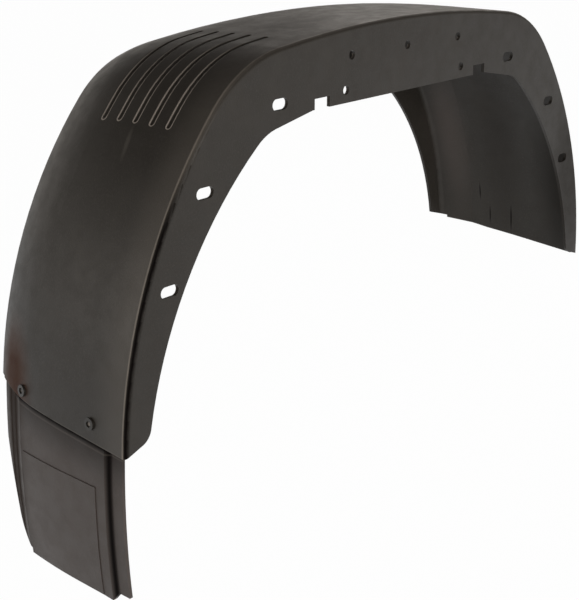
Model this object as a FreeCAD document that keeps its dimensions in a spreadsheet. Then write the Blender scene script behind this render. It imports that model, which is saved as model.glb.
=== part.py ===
import FreeCAD, Part

import math
import os

import Sketcher

# Trailer mudguard: one moulded shell over the wheel, with a hanging mud flap riveted inside its rear leg.
# Frame: the origin is the centre hole of the mounting flange, on the flange's outer face.
# X runs from the rear leg to the front leg, Y from the flange to the outer skirt, Z is up.

doc = FreeCAD.newDocument("trailer_mudguard")

SIZES = (
    # Arch line of the crown: a flat top arc, two shoulder arcs and two leg arcs, all tangent
    ("crown_height", 32.5),
    ("top_radius", 1720),
    ("shoulder_radius", 155),
    ("leg_radius", 515),
    ("shoulder_start_angle", 7.25),
    ("shoulder_end_angle", 47.5),
    ("leg_end_angle", 89.5),
    # Section across the guard: flange, fold, crown, rounded side, outer corner and skirt outside;
    # crown, crease, slanted band and skirt inside
    ("guard_width", 226),
    ("wall", 4),
    ("fold_radius", 4.6),
    ("flange_depth", 88),
    ("crown_flat", 90),
    ("crown_radius", 800),
    ("crown_turn_angle", 4.3),
    ("side_radius", 200),
    ("crown_end_angle", 6.3),
    ("band_angle", 22),
    ("corner_radius", 12),
    ("skirt_depth", 96),
    # Inner edge of the flange, from the middle to the foot of a leg
    ("edge_drop", 51),
    ("edge_flat", 166),
    ("edge_slope_end_x", 226),
    ("edge_slope_end_drop", 62),
    ("edge_turn_end_x", 253),
    ("edge_turn_end_drop", 75.2),
    ("edge_turn_radius", 62),
    ("edge_leg_radius", 444),
    ("edge_foot_x", 411),
    ("edge_foot_drop", 331),
    ("foot_corner_radius", 18),
    ("foot_corner_x", 424.8),
    ("foot_corner_drop", 344.8),
    # Inner edge of the skirt, from the middle to the foot of a leg
    ("skirt_edge_drop", 47),
    ("skirt_edge_flat", 98),
    ("skirt_turn_radius", 271),
    ("skirt_turn_end_x", 293),
    ("skirt_turn_end_drop", 130),
    ("skirt_leg_radius", 363),
    ("skirt_foot_inner_x", 389),
    ("skirt_foot_inner_drop", 316.7),
    ("skirt_foot_outer_x", 428),
    ("skirt_foot_outer_drop", 328.5),
    # Lower end of both legs
    ("foot_drop", 352.2),
    ("foot_break_y", 150),
    ("foot_break_drop", 339),
    ("foot_outer_drop", 328.2),
    # Fixing holes, slots and notches of the flange
    ("hole_diameter", 10),
    ("upper_hole_x", 101.6),
    ("upper_hole_drop", 0.5),
    ("lower_hole_x", 110.9),
    ("lower_hole_drop", 37),
    ("slot_width", 12),
    ("slot_length", 23.5),
    ("slot_a_x", 218.2),
    ("slot_a_drop", 37.4),
    ("slot_b_x", 328.8),
    ("slot_b_drop", 108.6),
    ("slot_c_x", 380),
    ("slot_c_drop", 196.1),
    ("notch_inner_x", 138.7),
    ("notch_outer_x", 163.5),
    ("notch_top_drop", 39.5),
    # Swaged grooves over the rear shoulder
    ("groove_width", 6),
    ("groove_sink", 1.6),
    ("groove_first_y", 48.5),
    ("groove_pitch", 23.75),
    ("groove_top_angle", 6.2),
    ("groove_leg_angle", 50.3),
    # Mud flap
    ("flap_gap", 0.3),
    ("flap_thickness", 4),
    ("flap_radius", 1100),
    ("flap_bend_angle", 85),
    ("flap_lap_angle", 3.6),
    ("flap_hang_angle", 11.8),
    ("flap_near_y", 15),
    ("flap_strip_end_y", 31),
    ("flap_step", 5),
    ("flap_lap_far_y", 212),
    ("flap_far_y", 225),
    ("flap_strip_bottom_drop", 518),
    ("flap_bottom_drop", 526.5),
    ("flap_taper_start_drop", 405),
    ("flap_taper_end_drop", 484),
    ("flap_taper_end_y", 204),
    ("flap_corner_radius", 42),
    ("flap_corner_end_y", 157),
    ("flap_corner_end_drop", 520.5),
    ("panel_border_y", 50),
    ("panel_far_y", 172),
    ("panel_rise", 0.9),
    ("panel_top_angle", 3.4),
    ("panel_bottom_angle", 10),
    # Flap rivets
    ("rivet_shank_diameter", 6),
    ("rivet_hole_clearance", 0.2),
    ("rivet_head_diameter", 13),
    ("rivet_head_height", 2.4),
    ("rivet_dimple_diameter", 6.5),
    ("rivet_dimple_depth", 1.4),
    ("rivet_tail_diameter", 11),
    ("rivet_tail_height", 2),
    ("rivet_seat_gap", 0.1),
    ("rivet_near_y", 52),
    ("rivet_near_angle", 84.5),
    ("rivet_far_y", 164),
    ("rivet_far_angle", 84.2),
    # Room that a cut runs past the solid it opens
    ("cut_room", 15),
)

GROOVES = 5
FLAP_STEP_SLOPE = 45

sheet = doc.addObject("Spreadsheet::Sheet", "Sizes")
for row, (alias, number) in enumerate(SIZES, start=1):
    sheet.set("A%d" % row, alias)
    sheet.set("B%d" % row, str(number))
    sheet.setAlias("B%d" % row, alias)
doc.recompute()


class Names:
    """Gives each size as the text that an expression uses."""

    def __getattr__(self, alias):
        return "Sizes." + alias


S = Names()


def value(expression):
    """Number that an expression over the sheet gives now."""
    return float(sheet.evalExpression(str(expression)))


# Arc centres of the arch line, as expressions
TOP_CENTRE_Z = f"({S.crown_height} - {S.top_radius})"
TOP_TO_SHOULDER = f"({S.top_radius} - {S.shoulder_radius})"
SHOULDER_CENTRE_X = f"({TOP_TO_SHOULDER} * sin({S.shoulder_start_angle}))"
SHOULDER_CENTRE_Z = f"({TOP_CENTRE_Z} + {TOP_TO_SHOULDER} * cos({S.shoulder_start_angle}))"
LEG_BACK = f"({S.leg_radius} - {S.shoulder_radius})"
LEG_CENTRE_X = f"({SHOULDER_CENTRE_X} - {LEG_BACK} * sin({S.shoulder_end_angle}))"
LEG_CENTRE_Z = f"({SHOULDER_CENTRE_Z} - {LEG_BACK} * cos({S.shoulder_end_angle}))"
FLAP_BACK = f"({S.flap_radius} - {S.leg_radius})"
FLAP_CENTRE_X = f"({LEG_CENTRE_X} - {FLAP_BACK} * sin({S.flap_bend_angle}))"
FLAP_CENTRE_Z = f"({LEG_CENTRE_Z} - {FLAP_BACK} * cos({S.flap_bend_angle}))"

# Outside, the crown's arc runs on into the tighter arc of the side; depths are below the crown line
TURN_Y = f"({S.crown_flat} + {S.crown_radius} * sin({S.crown_turn_angle}))"
TURN_SINK = f"({S.crown_radius} * (1 - cos({S.crown_turn_angle})))"
SIDE_Y = f"({TURN_Y} - {S.side_radius} * sin({S.crown_turn_angle}))"
SIDE_SINK = f"({TURN_SINK} + {S.side_radius} * cos({S.crown_turn_angle}))"

# Inside, the crown's arc ends at a crease with a slanted band, which runs into the skirt's corner
CREASE_Y = f"({S.crown_flat} + {S.crown_radius} * sin({S.crown_end_angle}))"
CREASE_SINK = f"({S.crown_radius} * (1 - cos({S.crown_end_angle})))"
CORNER_Y = f"({S.guard_width} - {S.corner_radius})"
BAND_CORNER_SINK = (
    f"({CREASE_SINK} + ({S.corner_radius} + ({CORNER_Y} - {CREASE_Y}) * sin({S.band_angle}))"
    f" / cos({S.band_angle}))"
)
CORNER_REACH = f"({S.side_radius} - {S.corner_radius})"
CORNER_SINE = f"(({CORNER_Y} - {SIDE_Y}) / {CORNER_REACH})"
CORNER_COSINE = f"sqrt(1 - {CORNER_SINE}^2)"
CORNER_SINK = f"({SIDE_SINK} - {CORNER_REACH} * {CORNER_COSINE})"


def crease(offset):
    """Y of the crease and its depth, for a face that lies the offset below the crown."""
    mitre = f"({offset} / cos(({S.band_angle} - {S.crown_end_angle}) / 2))"
    lean = f"(({S.band_angle} + {S.crown_end_angle}) / 2)"
    return f"({CREASE_Y} - {mitre} * sin({lean}))", f"({CREASE_SINK} + {mitre} * cos({lean}))"


def band_sink(offset, y):
    """Depth of the slanted band below the crown line at a place across the guard."""
    start, sink = crease(offset)
    return f"({sink} + ({y} - {start}) * tan({S.band_angle}))"


def origin_plane(body, role):
    """Origin plane of a body."""
    return next(item for item in body.Origin.OriginFeatures if item.Role == role)


def new_sketch(body, name, role):
    """Sketch on one of the body's origin planes."""
    sketch = body.newObject("Sketcher::SketchObject", name)
    sketch.AttachmentSupport = (origin_plane(body, role), "")
    sketch.MapMode = "FlatFace"
    return sketch


def radial_sketch(body, name, centre_x, centre_z, angle):
    """Sketch in a plane through an arc's axis: its x is Y, its y runs outwards from the axis."""
    sketch = new_sketch(body, name, "YZ_Plane")
    # A turn of nothing would lose its axis, so the axis is set with a small turn first
    turn = FreeCAD.Rotation(FreeCAD.Vector(1, 0, 0), 1)
    sketch.AttachmentOffset = FreeCAD.Placement(FreeCAD.Vector(0, 0, 0), turn)
    sketch.setExpression(".AttachmentOffset.Base.y", centre_z)
    sketch.setExpression(".AttachmentOffset.Base.z", centre_x)
    sketch.setExpression(".AttachmentOffset.Rotation.Angle", angle)
    return sketch


def pin(sketch, geometry, end, x, y):
    """Fix one end of a line or arc at a place given by two expressions."""
    for kind, place in (("DistanceX", x), ("DistanceY", y)):
        index = sketch.addConstraint(Sketcher.Constraint(kind, -1, 1, geometry, end, value(place)))
        sketch.setExpression("Constraints[%d]" % index, str(place))


def arc_between(start, stop, radius, side):
    """Arc shorter than a half turn; side is 1 where it bulges to the left of its direction, else -1."""
    chord = stop - start
    half = chord.Length / 2
    rise = radius - math.sqrt(radius * radius - half * half)
    left = FreeCAD.Vector(-chord.y, chord.x, 0).normalize()
    return Part.Arc(start, (start + stop) * 0.5 + left * (rise * side), stop)


def outline(sketch, steps):
    """Closed outline. Each step is (x, y), then a radius and a side where an arc leaves that corner."""
    corners = [FreeCAD.Vector(value(step[0]), value(step[1]), 0) for step in steps]
    edges = []
    for number, step in enumerate(steps):
        start = corners[number]
        stop = corners[(number + 1) % len(steps)]
        if len(step) == 2:
            index = sketch.addGeometry(Part.LineSegment(start, stop), False)
            edges.append((index, 1, 2))
            continue
        arc = arc_between(start, stop, value(step[2]), step[3])
        index = sketch.addGeometry(arc, False)
        to_first, to_last = (sketch.getPoint(index, end).distanceToPoint(start) for end in (1, 2))
        edges.append((index, 1, 2) if to_first < to_last else (index, 2, 1))
    for number, (index, first, last) in enumerate(edges):
        following = edges[(number + 1) % len(edges)]
        sketch.addConstraint(Sketcher.Constraint("Coincident", index, last, following[0], following[1]))
        pin(sketch, index, first, steps[number][0], steps[number][1])
        if len(steps[number]) == 4:
            radius = sketch.addConstraint(Sketcher.Constraint("Radius", index, value(steps[number][2])))
            sketch.setExpression("Constraints[%d]" % radius, str(steps[number][2]))


def circle(sketch, x, y, radius):
    """Circle at a place given by expressions."""
    centre = FreeCAD.Vector(value(x), value(y), 0)
    index = sketch.addGeometry(Part.Circle(centre, FreeCAD.Vector(0, 0, 1), value(radius)), False)
    pin(sketch, index, 3, x, y)
    limit = sketch.addConstraint(Sketcher.Constraint("Radius", index, value(radius)))
    sketch.setExpression("Constraints[%d]" % limit, str(radius))


def slot(sketch, x, y):
    """Level obround slot of the flange: two half circles joined by tangent lines."""
    half_run = f"({S.slot_length} - {S.slot_width}) / 2"
    half_width = value(f"{S.slot_width} / 2")
    up = FreeCAD.Vector(0, half_width, 0)
    left = FreeCAD.Vector(value(f"{x} - {half_run}"), value(y), 0)
    right = FreeCAD.Vector(value(f"{x} + {half_run}"), value(y), 0)
    aside = FreeCAD.Vector(half_width, 0, 0)
    left_end = sketch.addGeometry(Part.Arc(left + up, left - aside, left - up), False)
    lower = sketch.addGeometry(Part.LineSegment(left - up, right - up), False)
    right_end = sketch.addGeometry(Part.Arc(right - up, right + aside, right + up), False)
    upper = sketch.addGeometry(Part.LineSegment(right + up, left + up), False)
    ring = (left_end, lower, right_end, upper)
    for number, edge in enumerate(ring):
        sketch.addConstraint(Sketcher.Constraint("Tangent", edge, 2, ring[(number + 1) % 4], 1))
    pin(sketch, left_end, 3, f"{x} - {half_run}", y)
    pin(sketch, right_end, 3, f"{x} + {half_run}", y)
    radius = sketch.addConstraint(Sketcher.Constraint("Radius", left_end, half_width))
    sketch.setExpression("Constraints[%d]" % radius, f"{S.slot_width} / 2")


def turn_feature(body, kind, name, sketch, angle, backwards=False):
    """Revolution or Groove of a radial sketch about its own arc axis."""
    feature = body.newObject("PartDesign::" + kind, name)
    feature.Profile = sketch
    feature.ReferenceAxis = (sketch, ["H_Axis"])
    feature.Reversed = backwards
    feature.setExpression("Angle", angle)
    body.Tip = feature
    doc.recompute()
    return feature


def pocket(body, name, sketch, depth=None, backwards=False):
    """Pocket to a depth, or through all to both sides."""
    feature = body.newObject("PartDesign::Pocket", name)
    feature.Profile = sketch
    if depth is None:
        feature.Type = "ThroughAll"
        feature.Midplane = True
    else:
        feature.setExpression("Length", depth)
        feature.Reversed = backwards
    body.Tip = feature
    doc.recompute()
    return feature


def guard_section(body, name, radius, centre_x, centre_z, angle):
    """Section across the guard, with its crown line at the given radius from the arc's axis."""
    sketch = radial_sketch(body, name, centre_x, centre_z, angle)
    corner_axis = f"({radius} - {CORNER_SINK})"
    band_axis = f"({radius} - {BAND_CORNER_SINK})"
    inner_corner = f"({S.corner_radius} - {S.wall})"
    crease_y, crease_sink = crease(S.wall)
    outline(sketch, (
        ("0", f"{radius} - {S.flange_depth}"),
        ("0", f"{radius} - {S.fold_radius}", S.fold_radius, 1),
        (S.fold_radius, radius),
        (S.crown_flat, radius, S.crown_radius, 1),
        (TURN_Y, f"{radius} - {TURN_SINK}", S.side_radius, 1),
        (f"{CORNER_Y} + {S.corner_radius} * {CORNER_SINE}",
         f"{corner_axis} + {S.corner_radius} * {CORNER_COSINE}", S.corner_radius, 1),
        (S.guard_width, corner_axis),
        (S.guard_width, f"{radius} - {S.skirt_depth}"),
        (f"{S.guard_width} - {S.wall}", f"{radius} - {S.skirt_depth}"),
        (f"{S.guard_width} - {S.wall}", band_axis, inner_corner, -1),
        (f"{CORNER_Y} + {inner_corner} * sin({S.band_angle})",
         f"{band_axis} + {inner_corner} * cos({S.band_angle})"),
        (crease_y, f"{radius} - {crease_sink}", f"{S.crown_radius} - {S.wall}", -1),
        (S.crown_flat, f"{radius} - {S.wall}"),
        (S.fold_radius, f"{radius} - {S.wall}", f"{S.fold_radius} - {S.wall}", -1),
        (S.wall, f"{radius} - {S.fold_radius}"),
        (S.wall, f"{radius} - {S.flange_depth}"),
    ))
    return sketch


def arch_half(body):
    """Front half of the arch: the section turned round the top, shoulder and leg arcs."""
    top = guard_section(body, "top_section", S.top_radius, "0", TOP_CENTRE_Z, "0")
    turn_feature(body, "Revolution", "top_arc", top, S.shoulder_start_angle)
    shoulder = guard_section(body, "shoulder_section", S.shoulder_radius, SHOULDER_CENTRE_X,
                             SHOULDER_CENTRE_Z, S.shoulder_start_angle)
    turn_feature(body, "Revolution", "shoulder_arc", shoulder,
                 f"{S.shoulder_end_angle} - {S.shoulder_start_angle}")
    leg = guard_section(body, "leg_section", S.leg_radius, LEG_CENTRE_X, LEG_CENTRE_Z, S.shoulder_end_angle)
    turn_feature(body, "Revolution", "leg_arc", leg, f"{S.leg_end_angle} - {S.shoulder_end_angle}")


def trim_half(body):
    """Inner edge of the flange, the lower ends, and the holes of one half."""
    far_x = f"({S.skirt_foot_outer_x} + {S.flange_depth})"
    low = f"-({S.foot_drop} + {S.flange_depth})"
    foot_slope = (
        f"(({S.foot_drop} - {S.foot_corner_drop}) / "
        f"({LEG_CENTRE_X} + {S.leg_radius} - {S.foot_corner_x}))"
    )
    opening = new_sketch(body, "flange_opening", "XZ_Plane")
    outline(opening, (
        ("0", f"-{S.edge_drop}"),
        (S.edge_flat, f"-{S.edge_drop}"),
        (S.edge_slope_end_x, f"-{S.edge_slope_end_drop}", S.edge_turn_radius, 1),
        (S.edge_turn_end_x, f"-{S.edge_turn_end_drop}", S.edge_leg_radius, 1),
        (S.edge_foot_x, f"-{S.edge_foot_drop}", S.foot_corner_radius, -1),
        (S.foot_corner_x, f"-{S.foot_corner_drop}"),
        (far_x, f"-{S.foot_corner_drop} - ({far_x} - {S.foot_corner_x}) * {foot_slope}"),
        (far_x, low),
        ("0", low),
    ))
    pocket(body, "flange_edge", opening, f"{S.fold_radius} + {S.wall}")

    openings = new_sketch(body, "fixing_holes", "XZ_Plane")
    circle(openings, S.upper_hole_x, f"-{S.upper_hole_drop}", f"{S.hole_diameter} / 2")
    circle(openings, S.lower_hole_x, f"-{S.lower_hole_drop}", f"{S.hole_diameter} / 2")
    for letter in "abc":
        slot(openings, f"Sizes.slot_{letter}_x", f"-Sizes.slot_{letter}_drop")
    below = f"-({S.edge_drop} + {S.wall})"
    outline(openings, (
        (S.notch_inner_x, below),
        (S.notch_inner_x, f"-{S.notch_top_drop}"),
        (S.notch_outer_x, f"-{S.notch_top_drop}"),
        (S.notch_outer_x, below),
    ))
    pocket(body, "flange_holes", openings, f"{S.wall} + {S.fold_radius}")

    foot = new_sketch(body, "foot_line", "YZ_Plane")
    near_slope = f"(({S.foot_drop} - {S.foot_break_drop}) / {S.foot_break_y})"
    far_slope = (
        f"(({S.foot_break_drop} - {S.foot_outer_drop}) / ({S.guard_width} - {S.foot_break_y}))"
    )
    outline(foot, (
        (f"-{S.cut_room}", f"-{S.foot_drop} - {S.cut_room} * {near_slope}"),
        (S.foot_break_y, f"-{S.foot_break_drop}"),
        (f"{S.guard_width} + {S.cut_room}", f"-{S.foot_outer_drop} + {S.cut_room} * {far_slope}"),
        (f"{S.guard_width} + {S.cut_room}", low),
        (f"-{S.cut_room}", low),
    ))
    pocket(body, "foot_trim", foot)

    skirt_slope = (
        f"(({S.skirt_foot_outer_drop} - {S.skirt_foot_inner_drop}) / "
        f"({S.skirt_foot_outer_x} - {S.skirt_foot_inner_x}))"
    )
    skirt = new_sketch(body, "skirt_opening", "XZ_Plane")
    skirt.setExpression(".AttachmentOffset.Base.z", f"-({S.guard_width} + {S.cut_room})")
    outline(skirt, (
        ("0", f"-{S.skirt_edge_drop}"),
        (S.skirt_edge_flat, f"-{S.skirt_edge_drop}", S.skirt_turn_radius, 1),
        (S.skirt_turn_end_x, f"-{S.skirt_turn_end_drop}", S.skirt_leg_radius, 1),
        (S.skirt_foot_inner_x, f"-{S.skirt_foot_inner_drop}"),
        (far_x, f"-{S.skirt_foot_outer_drop} - ({far_x} - {S.skirt_foot_outer_x}) * {skirt_slope}"),
        (far_x, low),
        ("0", low),
    ))
    pocket(body, "skirt_edge", skirt, f"{S.cut_room} + {S.corner_radius}", True)


def mirror_half(body):
    """Rear half: the front half mirrored in the middle plane."""
    mirrored = body.newObject("PartDesign::Mirrored", "both_halves")
    mirrored.MirrorPlane = (origin_plane(body, "YZ_Plane"), [""])
    mirrored.TransformMode = "Whole shape"
    body.Tip = mirrored
    doc.recompute()


GROOVE_CUTTER = f"((({S.groove_width} / 2)^2 + {S.groove_sink}^2) / (2 * {S.groove_sink}))"


def groove_axes(radius):
    """Y and radius of each groove's round cutter, sunk into the crown line by the groove's depth."""
    for number in range(GROOVES):
        middle = f"({S.groove_first_y} + {number} * {S.groove_pitch})"
        past = f"(({middle} - {S.crown_flat} + abs({middle} - {S.crown_flat})) / 2)"
        line = f"({radius} - {S.crown_radius} + sqrt({S.crown_radius}^2 - {past}^2))"
        yield middle, f"({line} - {S.groove_sink} + {GROOVE_CUTTER})"


def groove_sketch(body, name, radius, centre_x, centre_z, angle):
    """The grooves' round cutters, side by side on one section."""
    sketch = radial_sketch(body, name, centre_x, centre_z, angle)
    for middle, height in groove_axes(radius):
        circle(sketch, middle, height, GROOVE_CUTTER)
    return sketch


def groove_ends(body, name, radius, centre_x, centre_z, angle):
    """Round ends of the grooves, at one angle on the rear half."""
    turn = math.radians(value(angle))
    outward = FreeCAD.Vector(-math.sin(turn), 0, math.cos(turn))
    for number, (middle, height) in enumerate(groove_axes(radius)):
        end = body.newObject("PartDesign::SubtractiveSphere", f"{name}_{number}")
        end.setExpression("Radius", GROOVE_CUTTER)
        place = FreeCAD.Vector(value(centre_x), value(middle), value(centre_z)) + outward * value(height)
        end.Placement = FreeCAD.Placement(place, FreeCAD.Rotation())
        body.Tip = end
        doc.recompute()


def swage_grooves(body):
    """Five grooves that run from the top over the rear shoulder."""
    top = groove_sketch(body, "groove_top", S.top_radius, "0", TOP_CENTRE_Z, f"-{S.groove_top_angle}")
    turn_feature(body, "Groove", "grooves_on_top", top,
                 f"{S.shoulder_start_angle} - {S.groove_top_angle}", True)
    shoulder = groove_sketch(body, "groove_shoulder", S.shoulder_radius, f"-{SHOULDER_CENTRE_X}",
                             SHOULDER_CENTRE_Z, f"-{S.shoulder_start_angle}")
    turn_feature(body, "Groove", "grooves_on_shoulder", shoulder,
                 f"{S.shoulder_end_angle} - {S.shoulder_start_angle}", True)
    leg = groove_sketch(body, "groove_leg", S.leg_radius, f"-{LEG_CENTRE_X}", LEG_CENTRE_Z,
                        f"-{S.shoulder_end_angle}")
    turn_feature(body, "Groove", "grooves_on_leg", leg,
                 f"{S.groove_leg_angle} - {S.shoulder_end_angle}", True)
    groove_ends(body, "groove_top_end", S.top_radius, "0", TOP_CENTRE_Z, S.groove_top_angle)
    groove_ends(body, "groove_leg_end", S.leg_radius, f"-{LEG_CENTRE_X}", LEG_CENTRE_Z,
                S.groove_leg_angle)


def rivet_placement(across, angle):
    """Placement on the rear leg's outer face, with z along the outward normal."""
    y = value(across)
    turn = math.radians(value(angle))
    if y < value(TURN_Y):
        slope = math.asin(max(y - value(S.crown_flat), 0.0) / value(S.crown_radius))
        sink = value(S.crown_radius) * (1 - math.cos(slope))
    else:
        slope = math.asin((y - value(SIDE_Y)) / value(S.side_radius))
        sink = value(SIDE_SINK) - value(S.side_radius) * math.cos(slope)
    reach = value(S.leg_radius) - sink
    outward = FreeCAD.Vector(-math.sin(turn), 0, math.cos(turn))
    seat = FreeCAD.Vector(-value(LEG_CENTRE_X), y, value(LEG_CENTRE_Z)) + outward * reach
    normal = outward * math.cos(slope) + FreeCAD.Vector(0, math.sin(slope), 0)
    return FreeCAD.Placement(seat, FreeCAD.Rotation(FreeCAD.Vector(0, 0, 1), normal))


RIVETS = {
    "near": rivet_placement(S.rivet_near_y, S.rivet_near_angle),
    "far": rivet_placement(S.rivet_far_y, S.rivet_far_angle),
}
RIVET_GRIP = f"({S.wall} + {S.flap_gap} + {S.flap_thickness})"


def rivet_holes(body):
    """Rivet holes through the rear leg or the flap."""
    for name, place in RIVETS.items():
        drill = body.newObject("PartDesign::SubtractiveCylinder", name + "_rivet_hole")
        drill.setExpression("Radius", f"{S.rivet_shank_diameter} / 2 + {S.rivet_hole_clearance}")
        drill.setExpression("Height", f"{RIVET_GRIP} + 2 * {S.cut_room}")
        shift = FreeCAD.Vector(0, 0, -value(f"{RIVET_GRIP} + {S.cut_room}"))
        drill.Placement = place.multiply(FreeCAD.Placement(shift, FreeCAD.Rotation()))
        body.Tip = drill
        doc.recompute()


def guard_shell():
    """The moulded shell."""
    body = doc.addObject("PartDesign::Body", "guard_shell")
    body.Label = "guard_shell"
    arch_half(body)
    trim_half(body)
    mirror_half(body)
    middle = new_sketch(body, "centre_hole_outline", "XZ_Plane")
    circle(middle, "0", "0", f"{S.hole_diameter} / 2")
    pocket(body, "centre_hole", middle, f"{S.wall} + {S.fold_radius}")
    swage_grooves(body)
    rivet_holes(body)
    return body


def flap_section(body, name, radius, centre_x, centre_z, far_y):
    """Section across the flap, its outer face just inside the leg's inner face."""
    sketch = radial_sketch(body, name, centre_x, centre_z, f"-{S.flap_bend_angle}")
    outer = f"({S.wall} + {S.flap_gap})"
    inner = f"({outer} + {S.flap_thickness})"
    bend = f"({S.flap_thickness} * tan({FLAP_STEP_SLOPE} / 2))"
    outer_y, outer_sink = crease(outer)
    inner_y, inner_sink = crease(inner)
    outline(sketch, (
        (S.flap_near_y, f"{radius} - {outer} - {S.flap_step}"),
        (S.flap_strip_end_y, f"{radius} - {outer} - {S.flap_step}"),
        (f"{S.flap_strip_end_y} + {S.flap_step}", f"{radius} - {outer}"),
        (S.crown_flat, f"{radius} - {outer}", f"{S.crown_radius} - {outer}", 1),
        (outer_y, f"{radius} - {outer_sink}"),
        (far_y, f"{radius} - {band_sink(outer, far_y)}"),
        (far_y, f"{radius} - {band_sink(inner, far_y)}"),
        (inner_y, f"{radius} - {inner_sink}", f"{S.crown_radius} - {inner}", -1),
        (S.crown_flat, f"{radius} - {inner}"),
        (f"{S.flap_strip_end_y} + {S.flap_step} + {bend}", f"{radius} - {inner}"),
        (f"{S.flap_strip_end_y} + {bend}", f"{radius} - {inner} - {S.flap_step}"),
        (S.flap_near_y, f"{radius} - {inner} - {S.flap_step}"),
    ))
    return sketch


def raised_panel(body):
    """Flat panel moulded a little proud of the flap's outer face, inside a plain border."""
    panel = radial_sketch(body, "panel_section", f"-{FLAP_CENTRE_X}", FLAP_CENTRE_Z,
                          f"-({S.flap_bend_angle} + {S.panel_top_angle})")
    crown_axis = f"({S.flap_radius} - {S.crown_radius})"
    face = f"({S.crown_radius} - {S.wall} - {S.flap_gap})"
    reach = f"({S.panel_far_y} - {S.crown_flat})"
    proud = f"({face} + {S.panel_rise})"
    under = f"({face} - {S.flap_thickness} / 2)"
    outline(panel, (
        (S.panel_border_y, f"{crown_axis} + {proud}"),
        (S.crown_flat, f"{crown_axis} + {proud}", proud, 1),
        (S.panel_far_y, f"{crown_axis} + sqrt({proud}^2 - {reach}^2)"),
        (S.panel_far_y, f"{crown_axis} + sqrt({under}^2 - {reach}^2)", under, -1),
        (S.crown_flat, f"{crown_axis} + {under}"),
        (S.panel_border_y, f"{crown_axis} + {under}"),
    ))
    turn_feature(body, "Revolution", "raised_panel", panel,
                 f"{S.panel_bottom_angle} - {S.panel_top_angle}", True)


def mud_flap():
    """The flap: a lap behind the leg's edge, and the hanging panel below it."""
    body = doc.addObject("PartDesign::Body", "mud_flap")
    body.Label = "mud_flap"
    lap = flap_section(body, "lap_section", S.leg_radius, f"-{LEG_CENTRE_X}", LEG_CENTRE_Z,
                       S.flap_lap_far_y)
    turn_feature(body, "Revolution", "lap", lap, S.flap_lap_angle)
    hang = flap_section(body, "hang_section", S.flap_radius, f"-{FLAP_CENTRE_X}", FLAP_CENTRE_Z,
                        S.flap_far_y)
    turn_feature(body, "Revolution", "hang", hang, S.flap_hang_angle, True)

    edge = new_sketch(body, "flap_outline", "YZ_Plane")
    far = f"({S.flap_far_y} + {S.cut_room})"
    near = f"({S.flap_near_y} - {S.cut_room})"
    low = f"-({S.flap_bottom_drop} + {S.cut_room} + {S.flap_corner_radius})"
    outline(edge, (
        (far, f"-{S.flap_taper_start_drop}"),
        (S.flap_far_y, f"-{S.flap_taper_start_drop}"),
        (S.flap_taper_end_y, f"-{S.flap_taper_end_drop}", S.flap_corner_radius, 1),
        (S.flap_corner_end_y, f"-{S.flap_corner_end_drop}"),
        (f"{S.flap_strip_end_y} + {S.flap_step}", f"-{S.flap_bottom_drop}"),
        (S.flap_strip_end_y, f"-{S.flap_strip_bottom_drop}"),
        (near, f"-{S.flap_strip_bottom_drop}"),
        (near, low),
        (far, low),
    ))
    pocket(body, "flap_trim", edge)
    raised_panel(body)
    rivet_holes(body)
    return body


def flap_rivets():
    """Two headed rivets that hold the flap, set from outside."""
    rivets = []
    for name, place in RIVETS.items():
        pieces = []
        for piece, diameter, height, base in (
            ("shank", S.rivet_shank_diameter, f"{RIVET_GRIP} + 2 * {S.rivet_seat_gap}",
             f"-{RIVET_GRIP} - {S.rivet_seat_gap}"),
            ("head", S.rivet_head_diameter, S.rivet_head_height, S.rivet_seat_gap),
            ("tail", S.rivet_tail_diameter, S.rivet_tail_height,
             f"-{RIVET_GRIP} - {S.rivet_seat_gap} - {S.rivet_tail_height}"),
        ):
            solid = doc.addObject("Part::Cylinder", "%s_rivet_%s" % (name, piece))
            solid.setExpression("Radius", f"{diameter} / 2")
            solid.setExpression("Height", height)
            lift = FreeCAD.Placement(FreeCAD.Vector(0, 0, value(base)), FreeCAD.Rotation())
            solid.Placement = place.multiply(lift)
            pieces.append(solid)
        whole = doc.addObject("Part::MultiFuse", name + "_rivet_blank")
        whole.Shapes = pieces
        dimple = doc.addObject("Part::Cylinder", name + "_rivet_dimple")
        dimple.setExpression("Radius", f"{S.rivet_dimple_diameter} / 2")
        dimple.setExpression("Height", S.rivet_head_height)
        floor = value(f"{S.rivet_seat_gap} + {S.rivet_head_height} - {S.rivet_dimple_depth}")
        lift = FreeCAD.Placement(FreeCAD.Vector(0, 0, floor), FreeCAD.Rotation())
        dimple.Placement = place.multiply(lift)
        rivet = doc.addObject("Part::Cut", name + "_rivet")
        rivet.Base = whole
        rivet.Tool = dimple
        rivets.append(rivet)
    group = doc.addObject("Part::Compound", "flap_rivets")
    group.Label = "flap_rivets"
    group.Links = rivets
    doc.recompute()
    return group


PIECES = (guard_shell(), mud_flap(), flap_rivets())
doc.recompute()

for item in doc.Objects:
    if "Invalid" in item.State or "Error" in item.State:
        raise RuntimeError("%s did not build: %s" % (item.Name, item.State))
for piece in PIECES:
    if piece.Shape.isNull() or not piece.Shape.isValid():
        raise RuntimeError("%s has no sound shape" % piece.Label)

os.makedirs("parts", exist_ok=True)
for piece in PIECES:
    piece.Shape.exportStep("parts/%s.step" % piece.Label)
    box = piece.Shape.optimalBoundingBox()
    print("%s: %d solid(s), %.1f cm3, x %.1f to %.1f, y %.1f to %.1f, z %.1f to %.1f" % (
        piece.Label, len(piece.Shape.Solids), piece.Shape.Volume / 1000,
        box.XMin, box.XMax, box.YMin, box.YMax, box.ZMin, box.ZMax))
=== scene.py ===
"""Blender look of a moulded trailer mudguard with a riveted mud flap.

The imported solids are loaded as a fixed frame, in metres: X runs along the arch from the flap to the
front leg, Y from the mounting flange across to the outer skirt, and Z up. The script gives every
solid its plastic, and sets the camera, the lamps and the white studio around it.
"""

from __future__ import annotations

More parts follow.
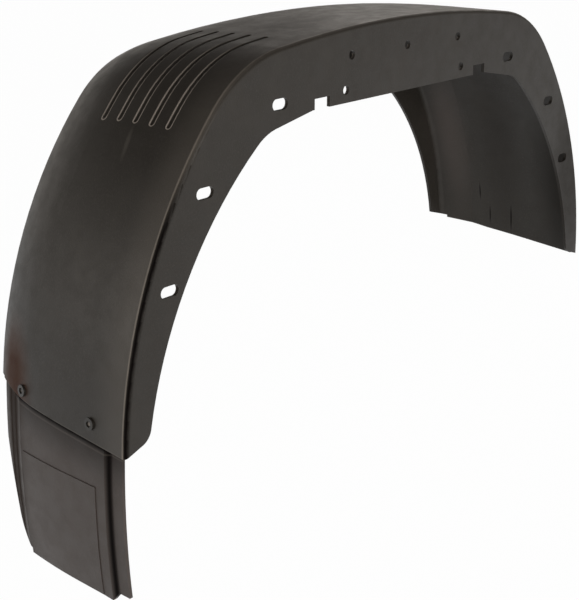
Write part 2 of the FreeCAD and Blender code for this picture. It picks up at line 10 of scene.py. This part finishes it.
import logging
import math
from abc import ABC, abstractmethod
from dataclasses import dataclass
from enum import Enum

import bpy
from mathutils import Euler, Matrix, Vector


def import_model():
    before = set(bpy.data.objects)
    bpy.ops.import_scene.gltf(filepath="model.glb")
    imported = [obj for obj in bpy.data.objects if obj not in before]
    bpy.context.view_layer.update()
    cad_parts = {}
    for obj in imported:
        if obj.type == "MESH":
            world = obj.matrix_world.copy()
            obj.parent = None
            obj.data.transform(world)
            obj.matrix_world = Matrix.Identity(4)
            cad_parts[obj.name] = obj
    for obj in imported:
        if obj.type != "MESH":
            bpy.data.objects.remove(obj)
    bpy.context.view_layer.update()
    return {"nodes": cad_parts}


LOG = logging.getLogger("mudguard")

Colour = tuple[float, float, float]
Point = tuple[float, float, float]
Socket = bpy.types.NodeSocket

MM = 0.001
X_AXIS = (1.0, 0.0, 0.0)
Y_AXIS = (0.0, 1.0, 0.0)
Z_AXIS = (0.0, 0.0, 1.0)
WHITE = (1.0, 1.0, 1.0)


def mm(x: float, y: float, z: float) -> Point:
    """A place given in millimetres, in metres."""
    return (x * MM, y * MM, z * MM)


class Slot(Enum):
    """Material slots of the record."""

    SHELL = "shell_plastic"
    FLAP = "flap_plastic"
    RIVET = "rivet_plastic"


class NodeTree:
    """Adds shader nodes to one tree and joins them."""

    def __init__(self, tree: bpy.types.NodeTree) -> None:
        """Empties the tree."""
        self.tree = tree
        tree.nodes.clear()

    def add(
        self, kind: str, inputs: dict[str | int, object] | None = None, **settings: object
    ) -> bpy.types.Node:
        """Adds one node.

        Args:
            kind: Blender's name of the node type.
            inputs: values or output sockets for the node's inputs, by name or by number.
            **settings: attributes of the node.

        Returns:
            The new node.
        """
        node = self.tree.nodes.new(kind)
        for name, setting in settings.items():
            setattr(node, name, setting)
        for name, source in (inputs or {}).items():
            socket = node.inputs[name]
            if isinstance(source, Socket):
                self.tree.links.new(source, socket)
            else:
                socket.default_value = source
        return node

    def noise(self, place: Socket, size: float, detail: float) -> Socket:
        """Noise whose lumps are about `size` metres wide."""
        inputs = {"Vector": place, "Scale": 1.0 / size, "Detail": detail, "Roughness": 0.6}
        return self.add("ShaderNodeTexNoise", inputs).outputs["Fac"]

    def spread(self, source: Socket, low: float, high: float, to_low: float, to_high: float) -> Socket:
        """Maps the stretch from low to high onto the stretch from to_low to to_high, smoothly."""
        limits = {"From Min": low, "From Max": high, "To Min": to_low, "To Max": to_high}
        node = self.add("ShaderNodeMapRange", {"Value": source, **limits}, interpolation_type="SMOOTHSTEP")
        return node.outputs["Result"]

    def combine(self, operation: str, first: Socket | float, second: Socket | float = 0.0) -> Socket:
        """Joins two values by one of Blender's operations on numbers."""
        return self.add("ShaderNodeMath", {0: first, 1: second}, operation=operation).outputs[0]

    def times(self, *sources: Socket | float) -> Socket | float:
        """Product of several values."""
        product = sources[0]
        for source in sources[1:]:
            product = self.combine("MULTIPLY", product, source)
        return product

    def largest(self, *sources: Socket) -> Socket:
        """Largest of several values."""
        best = sources[0]
        for source in sources[1:]:
            best = self.combine("MAXIMUM", best, source)
        return best

    def dot(self, first: Socket, second: Socket | Point) -> Socket:
        """Dot product of two vectors."""
        node = self.add("ShaderNodeVectorMath", {0: first, 1: second}, operation="DOT_PRODUCT")
        return node.outputs["Value"]

    def along(self, place: Socket, axis: Point, offset: float = 0.0) -> Socket:
        """Length of a place along an axis, less an offset."""
        return self.combine("SUBTRACT", self.dot(place, axis), offset)

    def distance(self, first: Socket, second: Socket) -> Socket:
        """Distance from the origin of a plane, from the two lengths in it."""
        square = self.combine("ADD", self.times(first, first), self.times(second, second))
        return self.combine("SQRT", square)

    def ridge(self, source: Socket, middle: float, reach: float) -> Socket:
        """1 where the source is at the middle, fading to 0 at the reach on both sides."""
        away = self.combine("ABSOLUTE", self.combine("SUBTRACT", source, middle))
        return self.spread(away, 0.0, reach, 1.0, 0.0)

    def tint(self, share: Socket, under: Socket | Colour, over: Colour) -> Socket:
        """Mixes a colour over another one.

        Args:
            share: 0 where only the lower colour shows, 1 where only the upper one does.
            under: the lower colour.
            over: the upper colour.

        Returns:
            The mixed colour.
        """
        lower = under if isinstance(under, Socket) else (*under, 1.0)
        factor, first, second, result = 0, 6, 7, 2
        inputs = {factor: share, first: lower, second: (*over, 1.0)}
        return self.add("ShaderNodeMix", inputs, data_type="RGBA").outputs[result]

    def mix_shaders(self, share: Socket, first: bpy.types.Node, second: bpy.types.Node) -> bpy.types.Node:
        """Mixes two shaders, the first where the share is 0 and the second where it is 1."""
        return self.add("ShaderNodeMixShader", {0: share, 1: first.outputs[0], 2: second.outputs[0]})


@dataclass(frozen=True, kw_only=True)
class SurfaceMark(ABC):
    """Something on a plastic that changes its colour and its gloss; used for real marks as well as for
    painted light and shade.

    Attributes:
        colour: the colour that it leaves.
        strength: how much of the plastic it covers in its middle.
        dulling: how much of the gloss it takes away in its middle.
    """

    colour: Colour
    strength: float
    dulling: float = 0.0

    @abstractmethod
    def share(self, nodes: NodeTree, place: Socket) -> Socket:
        """Cover of the mark, from 0 outside to its strength in the middle.

        Args:
            nodes: the tree to add to.
            place: the object's coordinates.

        Returns:
            The cover as a value.
        """


@dataclass(frozen=True, kw_only=True)
class Mark(SurfaceMark):
    """A soft-edged oval mark.

    Attributes:
        start: one end of the mark, in metres.
        end: its other end.
        width: how wide the mark is.
        core: share of the oval that has the full strength.
    """

    start: Point
    end: Point
    width: float
    core: float = 0.2

    def share(self, nodes: NodeTree, place: Socket) -> Socket:
        """Cover of the oval, see SurfaceMark.share."""
        first, last = Vector(self.start), Vector(self.end)
        run = last - first
        turn = run.to_track_quat("X", "Z").inverted()
        centre = turn @ ((first + last) / 2)
        turned = nodes.add(
            "ShaderNodeVectorRotate",
            {"Vector": place, "Rotation": turn.to_euler()},
            rotation_type="EULER_XYZ",
        ).outputs["Vector"]
        reach = (2.0 / run.length, 2.0 / self.width, 2.0 / self.width)
        local = nodes.add(
            "ShaderNodeMapping",
            {"Vector": turned, "Location": tuple(-c * r for c, r in zip(centre, reach)), "Scale": reach},
        ).outputs["Vector"]
        distance = nodes.add("ShaderNodeVectorMath", {0: local}, operation="LENGTH").outputs["Value"]
        return nodes.spread(distance, self.core, 1.0, self.strength, 0.0)


@dataclass(frozen=True, kw_only=True)
class Stripe(SurfaceMark):
    """A soft-edged stripe along the top of one or two lines, such as the shadow under an edge.

    Attributes:
        axes: one or two axes; the largest length along them counts.
        offsets: the lengths at which the stripe's middle lies.
        reach: how far the stripe reaches to each side.
        tread_only: True where it keeps to the outside of the arch, on faces that do not look along Y.
    """

    axes: tuple[Point, ...]
    offsets: tuple[float, ...]
    reach: float
    tread_only: bool = False

    def share(self, nodes: NodeTree, place: Socket) -> Socket:
        """Cover of the stripe, see SurfaceMark.share."""
        lengths = [nodes.along(place, axis, offset) for axis, offset in zip(self.axes, self.offsets)]
        cover = nodes.times(nodes.ridge(nodes.largest(*lengths), 0.0, self.reach), self.strength)
        if self.tread_only:
            cover = nodes.times(cover, self._tread(nodes, place))
        return cover

    @staticmethod
    def _tread(nodes: NodeTree, place: Socket) -> Socket:
        """1 on the outside of the arch, 0 on the flange and inside."""
        normal = nodes.add("ShaderNodeNewGeometry").outputs["Normal"]
        sideways = nodes.combine("ABSOLUTE", nodes.along(normal, Y_AXIS))
        tread = nodes.spread(sideways, 0.55, 0.9, 1.0, 0.0)
        away = nodes.add("ShaderNodeVectorMath", {0: place, 1: ARCH_MIDDLE}, operation="SUBTRACT")
        facing = nodes.dot(away.outputs["Vector"], normal)
        return nodes.times(tread, nodes.spread(facing, 0.0, 50 * MM, 0.0, 1.0))


@dataclass(frozen=True, kw_only=True)
class FoldShade(SurfaceMark):
    """A dark line down the flange, close to the fold of the rear leg.

    Attributes:
        centre_x: X of the middle of the leg's arc.
        centre_z: its Z.
        radius: radius of the line about that middle.
        reach: how far the line reaches to each side.
        top_z: height at which the line starts.
        full_z: height below which it has its full strength.
        face_y: Y up to which the line is full, on the flange's face.
        tread_y: Y at which the line has gone, where the tread starts.
    """

    centre_x: float
    centre_z: float
    radius: float
    reach: float
    top_z: float
    full_z: float
    face_y: float
    tread_y: float

    def share(self, nodes: NodeTree, place: Socket) -> Socket:
        """Cover of the line, see SurfaceMark.share."""
        rearward = nodes.along(place, (-1.0, 0.0, 0.0), -self.centre_x)
        upward = nodes.along(place, Z_AXIS, self.centre_z)
        line = nodes.ridge(nodes.distance(rearward, upward), self.radius, self.reach)
        lower = nodes.spread(nodes.along(place, Z_AXIS), self.full_z, self.top_z, self.strength, 0.0)
        rear = nodes.spread(rearward, 0.0, 100 * MM, 0.0, 1.0)
        face = nodes.spread(nodes.along(place, Y_AXIS), self.face_y, self.tread_y, 1.0, 0.0)
        return nodes.times(line, lower, rear, face)


@dataclass(frozen=True, kw_only=True)
class GrooveRimHighlights(SurfaceMark):
    """Painted highlights: paler lips along parallel grooves with a round lower end.

    Attributes:
        first_y: middle of the first groove.
        pitch: distance from groove to groove.
        count: number of grooves.
        end_x: where the grooves end.
        end_slope: how far X moves for each metre along the crown at that end.
        fade_x: where the painted highlights on the lips fade out on the way up.
        half_width: distance from a groove's middle to its lip.
        reach: how far the painted highlight reaches to each side of the lip.
    """

    first_y: float
    pitch: float
    count: int
    end_x: float
    end_slope: float
    fade_x: float
    half_width: float
    reach: float

    def share(self, nodes: NodeTree, place: Socket) -> Socket:
        """Cover of the painted highlights on lips that look up, see SurfaceMark.share."""
        across = nodes.along(place, Y_AXIS, self.first_y)
        nearest = nodes.combine("ROUND", nodes.combine("DIVIDE", across, self.pitch))
        inside = nodes.combine("MAXIMUM", nodes.combine("MINIMUM", nearest, self.count - 1.0), 0.0)
        aside = nodes.combine("SUBTRACT", across, nodes.times(inside, self.pitch))
        past = nodes.along(place, (-1.0 / self.end_slope, 0.0, 0.0), -self.end_x / self.end_slope)
        beyond = nodes.combine("MAXIMUM", past, 0.0)
        lip = nodes.ridge(nodes.distance(aside, beyond), self.half_width, self.reach)
        fading = nodes.spread(nodes.along(place, X_AXIS), self.end_x, self.fade_x, self.strength, 0.0)
        normal = nodes.add("ShaderNodeNewGeometry").outputs["True Normal"]
        outside = nodes.spread(nodes.along(normal, Z_AXIS), 0.05, 0.25, 0.0, 1.0)
        return nodes.times(lip, fading, outside)


@dataclass(frozen=True, kw_only=True)
class MouldedPlastic:
    """Finish of a grained, unpainted moulding.

    Attributes:
        name: name of the material.
        colour: the plastic's own colour.
        worn: the paler colour of handled and rubbed places.
        dust: colour of the fine dust on faces that look up.
        dusting: how much of an upward face the dust covers.
        smooth: roughness of the smoothest places.
        rough: roughness of the dullest places.
        gloss: specular level.
        grain: width of the moulded grain, in metres.
        grain_depth: height of the grain.
        marks: marks that lie on the finish, real ones as well as painted light and shade.
    """

    name: str
    colour: Colour
    worn: Colour
    dust: Colour
    dusting: float
    smooth: float
    rough: float
    gloss: float
    grain: float
    grain_depth: float
    marks: tuple[SurfaceMark, ...] = ()

    def material(self) -> bpy.types.Material:
        """Makes the material.

        Returns:
            A material whose colour, roughness and bump come from object coordinates.
        """
        made = bpy.data.materials.new(self.name)
        made.use_nodes = True
        nodes = NodeTree(made.node_tree)
        place = nodes.add("ShaderNodeTexCoord").outputs["Object"]
        dullness = nodes.noise(place, DULLNESS_SIZE, 4.0)
        shader = nodes.add(
            "ShaderNodeBsdfPrincipled",
            {
                "Base Color": self._colour(nodes, place),
                "Roughness": nodes.spread(dullness, 0.3, 0.7, self.smooth, self.rough),
                "Specular IOR Level": self._gloss(nodes, place),
                "Normal": self._grain(nodes, place),
            },
        )
        nodes.add("ShaderNodeOutputMaterial", {"Surface": shader.outputs["BSDF"]})
        return made

    def _colour(self, nodes: NodeTree, place: Socket) -> Socket:
        """Colour with rubbed patches, marks and dust."""
        patches = nodes.spread(nodes.noise(place, PATCH_SIZE, 6.0), 0.38, 0.72, 0.0, 0.5)
        flecks = nodes.spread(nodes.noise(place, FLECK_SIZE, 3.0), 0.45, 0.75, 0.0, 0.7)
        colour = nodes.tint(nodes.largest(patches, flecks), self.colour, self.worn)
        for mark in self.marks:
            colour = nodes.tint(mark.share(nodes, place), colour, mark.colour)
        normal = nodes.add("ShaderNodeNewGeometry").outputs["Normal"]
        upward = nodes.add("ShaderNodeSeparateXYZ", {"Vector": normal}).outputs["Z"]
        settled = nodes.spread(upward, 0.55, 0.98, 0.0, self.dusting)
        uneven = nodes.spread(nodes.noise(place, DUST_SIZE, 5.0), 0.25, 0.6, 0.6, 1.0)
        return nodes.tint(nodes.times(settled, uneven), colour, self.dust)

    def _gloss(self, nodes: NodeTree, place: Socket) -> Socket | float:
        """Specular level, lower under the marks that dull it."""
        gloss: Socket | float = self.gloss
        for mark in self.marks:
            if mark.dulling:
                lost = nodes.times(mark.share(nodes, place), mark.dulling)
                gloss = nodes.times(nodes.combine("SUBTRACT", 1.0, lost), gloss)
        return gloss

    def _grain(self, nodes: NodeTree, place: Socket) -> Socket:
        """Bump of the fine moulded grain over slow waves of the wall."""
        waves = nodes.add(
            "ShaderNodeBump",
            {"Height": nodes.noise(place, WAVE_SIZE, 1.0), "Distance": WAVE_DEPTH, "Strength": 0.35},
        )
        fine = nodes.add(
            "ShaderNodeBump",
            {
                "Height": nodes.noise(place, self.grain, 3.0),
                "Distance": self.grain_depth,
                "Strength": 0.5,
                "Normal": waves.outputs["Normal"],
            },
        )
        return fine.outputs["Normal"]


# Sizes of the unevenness that all the plastics share
PATCH_SIZE = 60 * MM
FLECK_SIZE = 2.5 * MM
DUST_SIZE = 9 * MM
DULLNESS_SIZE = 18 * MM
WAVE_SIZE = 45 * MM
WAVE_DEPTH = 0.6 * MM

# Places on the guard
ARCH_MIDDLE = (0.0, 0.0, -350 * MM)
FOLD_Y = 4.0 * MM
FOOT_LINES = ((0.0, 0.088, -1.0), (0.0, 0.142, -1.0))
FOOT_DROPS = (352.2 * MM, 360.3 * MM)

# Colours that several marks or plastics use
# Pale colour of painted highlights: thin light lines along edges and folds, and spots on the rivet heads
PAINTED_HIGHLIGHT = (0.30, 0.27, 0.24)
# Near-black for a real smudge of grime and for lines of painted shade and painted shadow
DARK_GRIME_AND_SHADE = (0.006, 0.005, 0.005)
SHADED_BLACK = (0.024, 0.021, 0.018)
FLAP_BROWN = (0.070, 0.058, 0.053)


def across(y: float, reach: float, **finish: object) -> Stripe:
    """A stripe that runs along the arch at one distance from the flange.

    Args:
        y: distance of the stripe's middle from the flange's face.
        reach: how far the stripe reaches to each side.
        **finish: colour, strength and the other values of the stripe.

    Returns:
        The stripe.
    """
    return Stripe(axes=(Y_AXIS,), offsets=(y,), reach=reach, **finish)


def below_foot(depth: float, reach: float, **finish: object) -> Stripe:
    """A stripe that runs along the lower edge of the rear leg.

    Args:
        depth: distance of the stripe's middle below that edge.
        reach: how far the stripe reaches to each side.
        **finish: colour, strength and the other values of the stripe.

    Returns:
        The stripe.
    """
    offsets = tuple(drop + depth for drop in FOOT_DROPS)
    return Stripe(axes=FOOT_LINES, offsets=offsets, reach=reach, **finish)


STREAK_BELOW_GROOVES = Mark(
    start=mm(-329.5, 96.0, -50.8),
    end=mm(-358.8, 89.0, -90.1),
    width=9 * MM,
    colour=(0.085, 0.078, 0.070),
    strength=0.7,
)
# Painted shade: a dull, reddish-brown wedge down the outer edge of the rear leg, darkening it where little
# light is reflected
REDDISH_SHADE_WEDGE = Mark(
    start=mm(-424, 198, -238),
    end=mm(-446, 176, -398),
    width=92 * MM,
    colour=(0.085, 0.042, 0.028),
    strength=1.0,
    dulling=0.92,
)
FOOT_SMUDGE = Mark(
    start=mm(-445.0, 126, -341),
    end=mm(-445.5, 104, -344),
    width=6 * MM,
    colour=DARK_GRIME_AND_SHADE,
    strength=0.7,
    dulling=0.6,
)
# Painted shade: three thin dark lines on the inside of the front leg
INNER_SHADE_LINES = (
    Mark(
        start=mm(426.8, 162, -263),
        end=mm(433.9, 162, -299),
        width=3.2 * MM,
        colour=DARK_GRIME_AND_SHADE,
        strength=0.9,
        dulling=0.9,
    ),
    Mark(
        start=mm(434.8, 146, -297),
        end=mm(439.6, 146, -336),
        width=3.2 * MM,
        colour=DARK_GRIME_AND_SHADE,
        strength=0.9,
        dulling=0.9,
    ),
    Mark(
        start=mm(435.8, 110, -288),
        end=mm(441.7, 110, -348),
        width=3.6 * MM,
        colour=DARK_GRIME_AND_SHADE,
        strength=1.0,
        dulling=1.0,
    ),
)
# Painted light: a paler band on the inside of the front leg, where its skirt faces the light
LIT_INNER_BAND = Mark(
    start=mm(335, 194, -70),
    end=mm(424, 184, -345),
    width=80 * MM,
    colour=(0.085, 0.072, 0.066),
    strength=0.9,
)
FRONT_LEG_SHADE = (
    Mark(
        start=mm(380, 2, -60),
        end=mm(446, 2, -400),
        width=170 * MM,
        colour=SHADED_BLACK,
        strength=0.8,
        dulling=0.8,
    ),
    Mark(
        start=mm(320, 120, -20),
        end=mm(446, 120, -380),
        width=120 * MM,
        colour=SHADED_BLACK,
        strength=0.6,
        dulling=0.7,
    ),
)
FOLD_LIGHT_AND_SHADE = (
    # Painted light: a broad paler band on the tread beside the fold
    across(FOLD_Y, 52 * MM, colour=(0.105, 0.096, 0.086), strength=0.65, tread_only=True),
    # Painted highlight: a thin pale line along the fold
    across(FOLD_Y + 0.2 * MM, 2.0 * MM, colour=PAINTED_HIGHLIGHT, strength=0.75, tread_only=True),
    # Painted shade: a dark line on the flange beside the fold of the rear leg
    FoldShade(
        centre_x=67.6 * MM,
        centre_z=-378.4 * MM,
        radius=513 * MM,
        reach=5.5 * MM,
        top_z=-55 * MM,
        full_z=-140 * MM,
        face_y=2.8 * MM,
        tread_y=4.4 * MM,
        colour=DARK_GRIME_AND_SHADE,
        strength=1.0,
        dulling=1.0,
    ),
)
# Painted highlights on the lips of the crown's grooves
GROOVE_RIM_HIGHLIGHTS = GrooveRimHighlights(
    first_y=48.5 * MM,
    pitch=23.75 * MM,
    count=5,
    end_x=-328.3 * MM,
    end_slope=0.64,
    fade_x=-185 * MM,
    half_width=3.3 * MM,
    reach=1.2 * MM,
    colour=(0.48, 0.43, 0.39),
    strength=1.0,
)

SHELL_FINISH = MouldedPlastic(
    name="shell_plastic",
    colour=(0.027, 0.024, 0.0205),
    worn=(0.042, 0.038, 0.033),
    dust=(0.050, 0.044, 0.041),
    dusting=0.5,
    smooth=0.40,
    rough=0.50,
    gloss=0.30,
    grain=2.0 * MM,
    grain_depth=0.25 * MM,
    marks=(
        STREAK_BELOW_GROOVES,
        REDDISH_SHADE_WEDGE,
        FOOT_SMUDGE,
        *INNER_SHADE_LINES,
        LIT_INNER_BAND,
        *FRONT_LEG_SHADE,
        *FOLD_LIGHT_AND_SHADE,
        GROOVE_RIM_HIGHLIGHTS,
        # Painted highlight: a thin pale line along the rear leg's lower edge
        below_foot(-0.4 * MM, 1.4 * MM, colour=PAINTED_HIGHLIGHT, strength=0.15),
    ),
)

FLAP_FINISH = MouldedPlastic(
    name="flap_plastic",
    colour=FLAP_BROWN,
    worn=(0.090, 0.075, 0.070),
    dust=(0.085, 0.075, 0.070),
    dusting=0.4,
    smooth=0.42,
    rough=0.52,
    gloss=0.35,
    grain=2.0 * MM,
    grain_depth=0.2 * MM,
    marks=(
        # Painted shade: a broad darker, duller stretch of the flap below the shell's lower edge
        below_foot(4.0 * MM, 48 * MM, colour=(0.022, 0.018, 0.016), strength=0.8, dulling=0.6),
        across(206 * MM, 40 * MM, colour=FLAP_BROWN, strength=1.0, dulling=1.0),
        across(190 * MM, 32 * MM, colour=FLAP_BROWN, strength=1.0, dulling=1.0),
        # Painted shade: a dark line along the step in the flap
        across(32.5 * MM, 5.0 * MM, colour=DARK_GRIME_AND_SHADE, strength=1.0, dulling=0.95),
        # Painted highlight: a thin pale line on the flap just below the shell's edge
        below_foot(9.6 * MM, 1.6 * MM, colour=PAINTED_HIGHLIGHT, strength=0.12),
        # Painted shadow: a dark line on the flap right under the shell's lower edge
        below_foot(3.4 * MM, 6.0 * MM, colour=DARK_GRIME_AND_SHADE, strength=1.0, dulling=1.0),
    ),
)

RIVET_FINISH = MouldedPlastic(
    name="rivet_plastic",
    colour=(0.022, 0.020, 0.017),
    worn=(0.030, 0.027, 0.024),
    dust=(0.060, 0.054, 0.050),
    dusting=0.3,
    smooth=0.30,
    rough=0.42,
    gloss=0.4,
    grain=0.8 * MM,
    grain_depth=0.05 * MM,
    marks=(
        # Painted highlights: pale spots on the heads of the two rivets
        Mark(
            start=mm(-449, 52, -328.5),
            end=mm(-441, 52, -329.3),
            width=6 * MM,
            colour=PAINTED_HIGHLIGHT,
            strength=1.0,
        ),
        Mark(
            start=mm(-445, 164, -326.2),
            end=mm(-437, 164, -327.0),
            width=6 * MM,
            colour=PAINTED_HIGHLIGHT,
            strength=0.5,
        ),
    ),
)


@dataclass(frozen=True)
class Moulding:
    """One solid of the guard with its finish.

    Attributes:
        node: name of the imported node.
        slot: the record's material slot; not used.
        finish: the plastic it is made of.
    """

    node: str
    slot: Slot
    finish: MouldedPlastic

    def dress(self, nodes: dict[str, bpy.types.Object]) -> None:
        """Gives the solid its material.

        Args:
            nodes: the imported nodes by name.
        """
        piece = nodes[self.node]
        piece.data.materials.clear()
        piece.data.materials.append(self.finish.material())
        LOG.info("dressed %s as %s", self.node, self.finish.name)


@dataclass(frozen=True)
class PhotoCamera:
    """Camera at the photograph's place.

    Attributes:
        place: where it stands, in metres.
        yaw: degrees that it is turned from +Y towards +X.
        pitch: degrees that it looks down.
        lens: focal length for a sensor whose long side is `sensor` wide.
        sensor: the sensor's long side, in millimetres.
        nearest: distance from which things are seen, in metres.
        farthest: distance up to which they are seen.
    """

    place: Point = (-1.1496, -0.8194, 0.1918)
    yaw: float = 49.09
    pitch: float = 19.51
    lens: float = 73.76
    sensor: float = 36.0
    nearest: float = 0.05
    farthest: float = 60.0

    def build(self) -> None:
        """Makes the camera and gives it to the scene."""
        data = bpy.data.cameras.new("photo_camera")
        data.lens = self.lens
        data.sensor_width = self.sensor
        data.clip_start = self.nearest
        data.clip_end = self.farthest
        camera = bpy.data.objects.new("photo_camera", data)
        camera.location = self.place
        camera.rotation_euler = Euler((math.radians(90.0 - self.pitch), 0.0, math.radians(-self.yaw)))
        bpy.context.scene.collection.objects.link(camera)
        bpy.context.scene.camera = camera


@dataclass(frozen=True)
class SoftBox:
    """A rectangular soft lamp.

    Attributes:
        name: name of the lamp.
        place: where it hangs, in metres.
        aim: the point that it shines at.
        width: its level side.
        height: its upright side.
        power: its power in watts.
    """

    name: str
    place: Point
    aim: Point
    width: float
    height: float
    power: float

    def build(self, colour: Colour) -> None:
        """Hangs the lamp.

        Args:
            colour: colour of its light.
        """
        data = bpy.data.lights.new(self.name, "AREA")
        data.shape = "RECTANGLE"
        data.size = self.width
        data.size_y = self.height
        data.energy = self.power
        data.color = colour
        lamp = bpy.data.objects.new(self.name, data)
        lamp.location = self.place
        lamp.rotation_euler = (Vector(self.aim) - Vector(self.place)).to_track_quat("-Z", "Y").to_euler()
        bpy.context.scene.collection.objects.link(lamp)


@dataclass(frozen=True)
class Studio:
    """White studio: floor, room light and soft lamps.

    Attributes:
        floor_z: height of the floor, a little below the flap.
        floor_size: length of the floor's side.
        floor_white: share of the floor's look that is plain white, the rest takes the shadow.
        floor_paint: brightness of the floor's paint under the shadow.
        wall_light: brightness of the room around the part for diffuse light.
        ceiling_light: brightness of the room overhead.
        wall_top: upward slope of a direction at which the walls start to dim.
        ceiling_start: slope at which the ceiling's brightness is reached.
        front_wall: brightness of the wall beyond the front leg, beside that of the others.
        front_start: forward slope of a direction at which that wall starts.
        front_full: slope at which its brightness is reached.
        warmth: colour of the room and the lamps.
        lamps: the soft lamps.
    """

    floor_z: float = -0.70
    floor_size: float = 40.0
    floor_white: float = 0.985
    floor_paint: float = 0.86
    wall_light: float = 0.10
    ceiling_light: float = 0.03
    wall_top: float = 0.15
    ceiling_start: float = 0.62
    front_wall: float = 0.4
    front_start: float = 0.5
    front_full: float = 0.95
    warmth: Colour = (1.0, 0.94, 0.87)
    lamps: tuple[SoftBox, ...] = (
        SoftBox("front_lamp", (-1.0, -2.9, 0.35), (0.0, 0.0, -0.15), 3.0, 1.2, 60.0),
        SoftBox("left_lamp", (-2.8, 1.2, 0.25), (-0.2, 0.1, -0.2), 2.0, 1.0, 14.0),
        SoftBox("back_lamp", (2.6, 1.1, 1.2), (0.0, 0.1, 0.0), 2.0, 1.0, 9.0),
    )

    def build(self) -> None:
        """Builds the floor, the room and the lamps."""
        self._floor()
        self._room()
        for lamp in self.lamps:
            lamp.build(self.warmth)

    def _floor(self) -> None:
        """Lays a pale floor that stays white and takes the part's shadow."""
        bpy.ops.mesh.primitive_plane_add(size=self.floor_size, location=(0.0, 0.0, self.floor_z))
        floor = bpy.context.object
        floor.name = "studio_floor"
        made = bpy.data.materials.new("studio_floor")
        made.use_nodes = True
        nodes = NodeTree(made.node_tree)
        grey = (self.floor_paint, self.floor_paint, self.floor_paint, 1.0)
        paint = nodes.add("ShaderNodeBsdfDiffuse", {"Color": grey})
        glow = nodes.add("ShaderNodeEmission", {"Strength": 1.0})
        white = nodes.times(self._seen_directly(nodes), self.floor_white)
        mixed = nodes.mix_shaders(white, paint, glow)
        nodes.add("ShaderNodeOutputMaterial", {"Surface": mixed.outputs[0]})
        floor.data.materials.append(made)

    def _room(self) -> None:
        """Lights the part from a pale room with a dim ceiling, white where it is seen directly."""
        world = bpy.data.worlds.new("studio_room")
        bpy.context.scene.world = world
        world.use_nodes = True
        nodes = NodeTree(world.node_tree)
        direction = nodes.add("ShaderNodeTexCoord").outputs["Generated"]
        upward = nodes.along(direction, Z_AXIS)
        forward = nodes.along(direction, X_AXIS)
        limits = (self.wall_top, self.ceiling_start)
        walls = nodes.spread(upward, *limits, self.wall_light, self.ceiling_light)
        sides = nodes.spread(forward, self.front_start, self.front_full, 1.0, self.front_wall)
        mirrored = nodes.times(nodes.spread(upward, *limits, 1.0, self.ceiling_light), sides)
        warm = (*self.warmth, 1.0)
        room = nodes.add("ShaderNodeBackground", {"Color": warm, "Strength": walls})
        reflected = nodes.add("ShaderNodeBackground", {"Color": warm, "Strength": mirrored})
        backdrop = nodes.add("ShaderNodeBackground", {"Color": (*WHITE, 1.0), "Strength": 1.0})
        around = nodes.mix_shaders(self._seen_directly(nodes), room, reflected)
        path = nodes.add("ShaderNodeLightPath")
        shown = nodes.mix_shaders(path.outputs["Is Camera Ray"], around, backdrop)
        nodes.add("ShaderNodeOutputWorld", {"Surface": shown.outputs[0]})

    @staticmethod
    def _seen_directly(nodes: NodeTree) -> Socket:
        """1 for camera rays, mirror rays and rays through glass."""
        path = nodes.add("ShaderNodeLightPath")
        return nodes.largest(
            path.outputs["Is Camera Ray"],
            path.outputs["Is Glossy Ray"],
            path.outputs["Is Transmission Ray"],
        )


def main() -> None:
    """Loads the frame, dresses its solids and builds the studio."""
    logging.basicConfig(level=logging.INFO, format="%(name)s: %(message)s")
    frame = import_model()
    mouldings = (
        Moulding("guard_shell", Slot.SHELL, SHELL_FINISH),
        Moulding("mud_flap", Slot.FLAP, FLAP_FINISH),
        Moulding("flap_rivets", Slot.RIVET, RIVET_FINISH),
    )
    for moulding in mouldings:
        moulding.dress(frame["nodes"])
    Studio().build()
    PhotoCamera().build()
    bpy.context.scene.view_settings.view_transform = "Standard"


if __name__ == "__main__":
    main()
